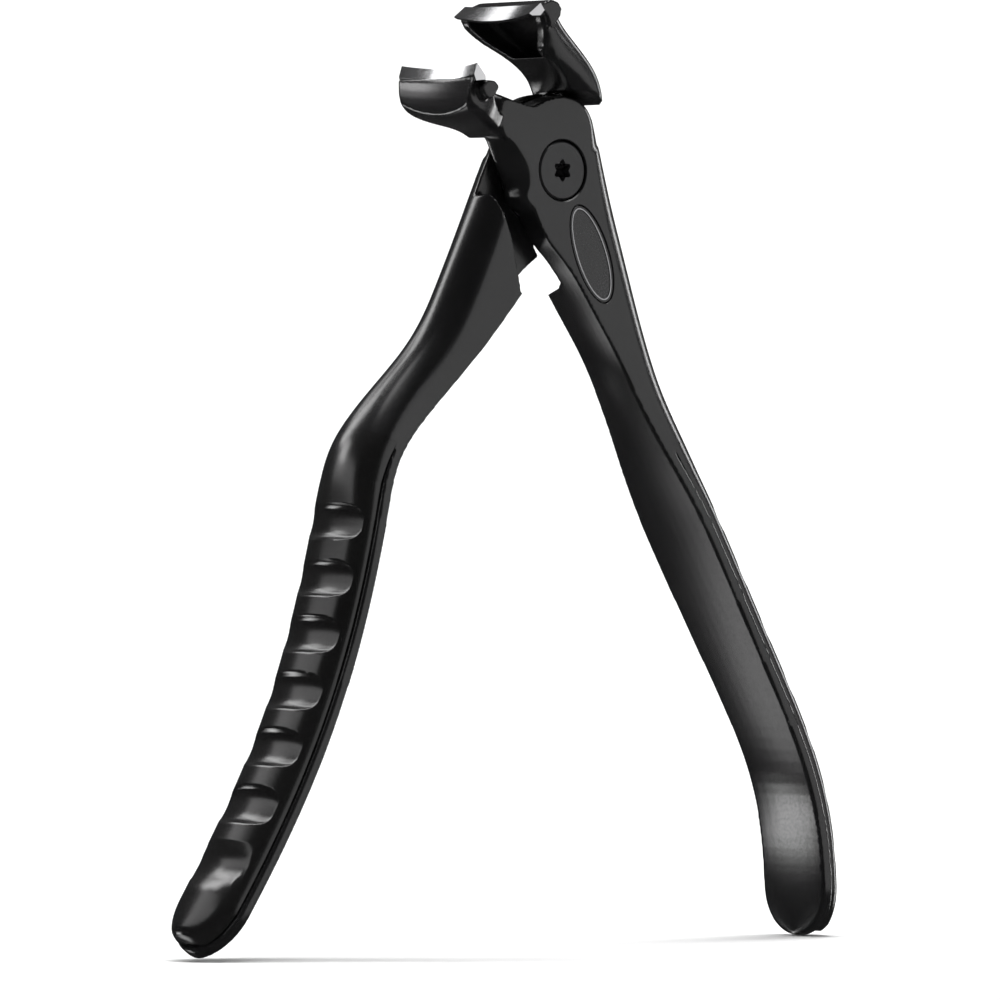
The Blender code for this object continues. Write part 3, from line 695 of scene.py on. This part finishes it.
def make_front_lever():
    """The front lever: right handle, plate and left jaw."""
    inner = -PLATE_FACE
    lap = lap_disc(LEDGE_RADIUS, inner, BEYOND)
    cone = [(0.0, inner), *FRONT_SHOULDER, (0.0, BEYOND)]
    arm, tang = make_arm(FRONT_HANDLE, FRONT_SEAM)
    cut(arm, turned("shoulder", cone))
    plate = make_plate(FRONT_PLATE, inner - LAP_OVER, -JOINT_HALF)
    jaw = make_jaw("front", FRONT_JAW, lap)
    cut(jaw, loft("trim", blade_rings("front", FRONT_TRIM)))
    ear = loft("ear", [[jaw_point("front", m, n, y) for m, n in FRONT_EAR]
                       for y in (-BLADE_HALF, EAR_FRONT_BACK)])
    lever = forged("front_lever_forging", [arm, tang, plate, jaw, ear])
    seat_pad(lever, FRONT_HANDLE, FRONT_SEAM)
    cut(lever, bore("front"))
    cut(lever, loft("pocket", [oval(grow, y - JOINT_HALF) for grow, y in POCKET_RINGS]))
    cut(lever, loft("seat", blade_rings("front", FRONT_BLADE, BLADE_SEAT)))
    return lever


def make_rear_lever():
    """The rear lever: left handle, plate and right jaw."""
    inner = PLATE_FACE
    lap = lap_disc(REAR_LEDGE_RADIUS, -BEYOND, inner)
    arm, tang = make_arm(REAR_HANDLE, REAR_SEAM)
    cut(arm, prism("shoulder", REAR_SHOULDER, -BEYOND, inner))
    plate = make_plate(REAR_PLATE, inner + LAP_OVER, JOINT_HALF)
    jaw = make_jaw("rear", REAR_JAW, lap)
    cut(jaw, loft("shelf", [[world(x, z - (y - SHELF_LEVEL), y) for x, z in REAR_SHELF]
                            for y in SHELF_SPAN]))
    ear = prism("ear", REAR_EAR, -BLADE_HALF, EAR_REAR_BACK)
    lever = forged("rear_lever_forging", [arm, tang, plate, jaw, ear])
    seat_pad(lever, REAR_HANDLE, REAR_SEAM)
    cut(lever, bore("rear"))
    cut(lever, loft("seat", blade_rings("rear", REAR_BLADE, BLADE_SEAT)))
    return lever


def lobes(y, scale=1.0):
    """The six-lobe drive recess's outline at a depth."""
    points = []
    for k in range(96):
        angle = 2 * math.pi * k / 96
        r = (RECESS_RADIUS - RECESS_WAVE * math.cos(6 * angle)) * scale
        points.append(world(r * math.cos(angle), r * math.sin(angle), y))
    return points


def make_screw():
    """The pivot screw: chamfered flush head, recess and shank."""
    face = -JOINT_HALF + HEAD_SET
    seat = face + HEAD_THICK
    tip = JOINT_HALF - TIP_SET
    head = [(0.0, face), (HEAD_RADIUS - HEAD_EDGE, face), (HEAD_RADIUS, face + HEAD_EDGE),
            (HEAD_RADIUS, seat), (SHANK_RADIUS, seat), (SHANK_RADIUS, tip - HEAD_EDGE),
            (SHANK_RADIUS - HEAD_EDGE, tip), (0.0, tip)]
    screw = turned("pivot_screw_turned", head, ROUND_PART_POINTS)
    return cut(screw, loft("recess", [lobes(face + y, scale) for y, scale in RECESS_RINGS]))


def make_nut():
    """The sleeve nut: chamfered ring with a driver slot."""
    back = JOINT_HALF - HEAD_SET
    inner = SHANK_RADIUS + CLEARANCE
    low = back - HEAD_THICK
    ring = [(HEAD_RADIUS, low), (HEAD_RADIUS, back - NUT_EDGE), (HEAD_RADIUS - NUT_EDGE, back),
            (inner + CLEARANCE, back), (inner, back - CLEARANCE), (inner, low)]
    nut = turned("sleeve_nut_turned", ring, ROUND_PART_POINTS)
    slot = [(-BORE_REACH, -SLOT_HALF), (BORE_REACH, -SLOT_HALF), (BORE_REACH, SLOT_HALF),
            (-BORE_REACH, SLOT_HALF)]
    return cut(nut, prism("slot", slot, back - SLOT_DEPTH, back + 1.0))


def make_badge():
    """The oval plate: a flat field inside a raised border."""
    top = -JOINT_HALF + BADGE_POCKET - BADGE_TOP
    return loft("oval_badge_plate", [oval(grow, top + down) for grow, down in BADGE_RINGS])


def grain(tree, scale, detail, stretch=(1.0, 1.0, 1.0)):
    """Noise in object space, stretched along the axes."""
    place = tree.nodes.new("ShaderNodeTexCoord")
    mapping = tree.nodes.new("ShaderNodeMapping")
    mapping.inputs["Scale"].default_value = stretch
    noise = tree.nodes.new("ShaderNodeTexNoise")
    noise.inputs["Scale"].default_value = scale
    noise.inputs["Detail"].default_value = detail
    noise.inputs["Roughness"].default_value = 0.6
    tree.links.new(place.outputs["Object"], mapping.inputs["Vector"])
    tree.links.new(mapping.outputs["Vector"], noise.inputs["Vector"])
    return noise.outputs["Fac"]


def spread(tree, source, low, high):
    """A number that runs from low to high over the middle of a noise's range."""
    ramp = tree.nodes.new("ShaderNodeMapRange")
    for name, value in (("From Min", NOISE_LOW), ("From Max", NOISE_HIGH), ("To Min", low),
                        ("To Max", high)):
        ramp.inputs[name].default_value = value
    tree.links.new(source, ramp.inputs["Value"])
    return ramp.outputs["Result"]


def tint(tree, source, dark, light):
    """A colour between two, driven by a noise."""
    ramp = tree.nodes.new("ShaderNodeValToRGB")
    stops = ramp.color_ramp.elements
    for stop, position, colour in zip(stops, (NOISE_LOW, NOISE_HIGH), (dark, light)):
        stop.position = position
        stop.color = (*colour, 1.0)
    tree.links.new(source, ramp.inputs["Fac"])
    return ramp.outputs["Color"]


def material(name):
    """A Principled material with fine grain in its colour, gloss and relief."""
    dark, light, rough, metallic, bump, scale = LOOKS[name]
    made = bpy.data.materials.new(name)
    made.use_nodes = True
    tree = made.node_tree
    shader = tree.nodes["Principled BSDF"]
    shader.inputs["Metallic"].default_value = metallic
    shader.inputs["Specular IOR Level"].default_value = SPECULAR.get(name, 0.5)
    broad = grain(tree, BROAD_SCALE, 3.0)
    fine = grain(tree, scale, 4.0, GRAIN_STRETCH.get(name, (1.0, 1.0, 1.0)))
    tree.links.new(tint(tree, broad, dark, light), shader.inputs["Base Color"])
    tree.links.new(spread(tree, fine, *rough), shader.inputs["Roughness"])
    relief = tree.nodes.new("ShaderNodeBump")
    relief.inputs["Strength"].default_value = bump
    relief.inputs["Distance"].default_value = RELIEF_DEPTH
    tree.links.new(fine, relief.inputs["Height"])
    tree.links.new(relief.outputs["Normal"], shader.inputs["Normal"])
    return made


def finish_piece(obj, look, body, replaced, angle=SHARP):
    """Shade a piece, give it its material and tie it to the frame."""
    obj.data.materials.clear()
    obj.data.materials.append(look)
    obj.data.shade_smooth()
    obj.data.set_sharp_from_angle(angle=math.radians(angle))
    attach(obj, body)
    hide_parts(replaced)


def second_material(obj, look, chosen):
    """Give the chosen faces of a piece another material."""
    obj.data.materials.append(look)
    for face in obj.data.polygons:
        if chosen(face):
            face.material_index = 1


def make_object():
    """All the pieces of the nipper."""
    looks = {name: material(name) for name in LOOKS if name != "white_sweep"}
    coating, oxide = looks["black_coating"], looks["black_oxide"]
    finish_piece(make_front_lever(), coating, "front", "front_lever")
    finish_piece(make_rear_lever(), coating, "rear", "rear_lever")
    for side, rows, seam in (("front", FRONT_HANDLE, FRONT_SEAM), ("rear", REAR_HANDLE, REAR_SEAM)):
        pad = make_pad(side + "_grip_pad_moulding", rows, seam)
        finish_piece(pad, looks["grip_polymer"], side, side + "_grip_pad",
                     SHARP_PAD)
    for side, profile in (("front", FRONT_BLADE), ("rear", REAR_BLADE)):
        blade = loft(side + "_blade_ground", blade_rings(side, profile))
        finish_piece(blade, looks["ground_steel"], side, side + "_blade",
                     SHARP_BLADE)
        second_material(blade, coating, lambda face: not ground(side, face.normal))
    finish_piece(make_screw(), oxide, "front", "pivot_screw")
    finish_piece(make_nut(), oxide, "front", "sleeve_nut")
    badge = make_badge()
    finish_piece(badge, looks["badge_enamel"], "front", "oval_badge", SHARP_BADGE)
    # The bright line on the border is a painted highlight, a lighter metal band on the listed
    # faces.
    second_material(badge, looks["painted_rim_highlight"],
                    lambda face: face.index // OVAL_POINTS in BADGE_HIGHLIGHT_BANDS)
    for name, look in (("pivot_bushing", "bronze"), ("thrust_washer", "washer_steel"),
                       ("head_washer", "washer_steel"), ("disc_spring", "washer_steel")):
        for place in frame["nodes"][name].material_slots:
            place.material = looks[look]


def make_camera():
    """A long lens from the left, level with the middle of the tool."""
    data = bpy.data.cameras.new("camera")
    data.lens = 360.0
    data.sensor_width = 36.0
    data.clip_end = 20.0
    camera = bpy.data.objects.new("camera", data)
    camera.location = PIVOT + CAMERA_SHIFT
    tilt, turn = math.radians(90.0 - CAMERA_PITCH), math.radians(-CAMERA_TURN)
    camera.rotation_euler = (tilt, 0.0, turn)
    bpy.context.scene.collection.objects.link(camera)
    bpy.context.scene.camera = camera


def studio(right, away, up):
    """A vector in the frame, from one along the camera's right, its view and up."""
    turn = math.radians(-CAMERA_TURN)
    across = Vector((math.cos(turn), math.sin(turn), 0.0))
    behind = Vector((-math.sin(turn), math.cos(turn), 0.0))
    return across * right + behind * away + Vector((0.0, 0.0, up))


def make_stage():
    """A white sweep: a floor that curves up into a wall behind the tool."""
    profile = [(SWEEP_FRONT, 0.0), (SWEEP_FLAT, 0.0)]
    for k in range(1, 17):
        angle = math.pi / 2 * k / 16
        profile.append((SWEEP_FLAT + SWEEP_ROUND * math.sin(angle),
                        SWEEP_ROUND - SWEEP_ROUND * math.cos(angle)))
    profile.append((SWEEP_FLAT + SWEEP_ROUND, SWEEP_TOP))
    bm = bmesh.new()
    rows = []
    for side in (-SWEEP_HALF, SWEEP_HALF):
        rows.append([bm.verts.new(studio(side, away, z)) for away, z in profile])
    for i in range(len(profile) - 1):
        bm.faces.new((rows[0][i], rows[0][i + 1], rows[1][i + 1], rows[1][i]))
    floor = new_object("studio_sweep", bm)
    floor.data.materials.append(material("white_sweep"))
    floor.data.shade_smooth()
    floor.visible_glossy = False


def area_light(name, place, target, sides, power):
    """A rectangular softbox aimed at a point."""
    data = bpy.data.lights.new(name, "AREA")
    data.shape = "RECTANGLE"
    data.size, data.size_y = sides
    data.energy = power
    obj = bpy.data.objects.new(name, data)
    obj.location = place
    obj.rotation_euler = (target - place).to_track_quat("-Z", "Y").to_euler()
    bpy.context.scene.collection.objects.link(obj)


def make_lights():
    """Soft boxes round the tool and a dim surrounding."""
    for name, (place, target, sides, power) in LIGHTS.items():
        area_light(name, STUDIO_MIDDLE + studio(*place), STUDIO_MIDDLE + studio(*target), sides,
                   power)
    surrounding = bpy.data.worlds.new("surrounding")
    surrounding.use_nodes = True
    back = surrounding.node_tree.nodes["Background"]
    back.inputs["Color"].default_value = (1.0, 1.0, 1.0, 1.0)
    back.inputs["Strength"].default_value = SURROUNDING
    bpy.context.scene.world = surrounding
    bpy.context.scene.view_settings.view_transform = "Standard"


make_object()
make_camera()
make_stage()
make_lights()
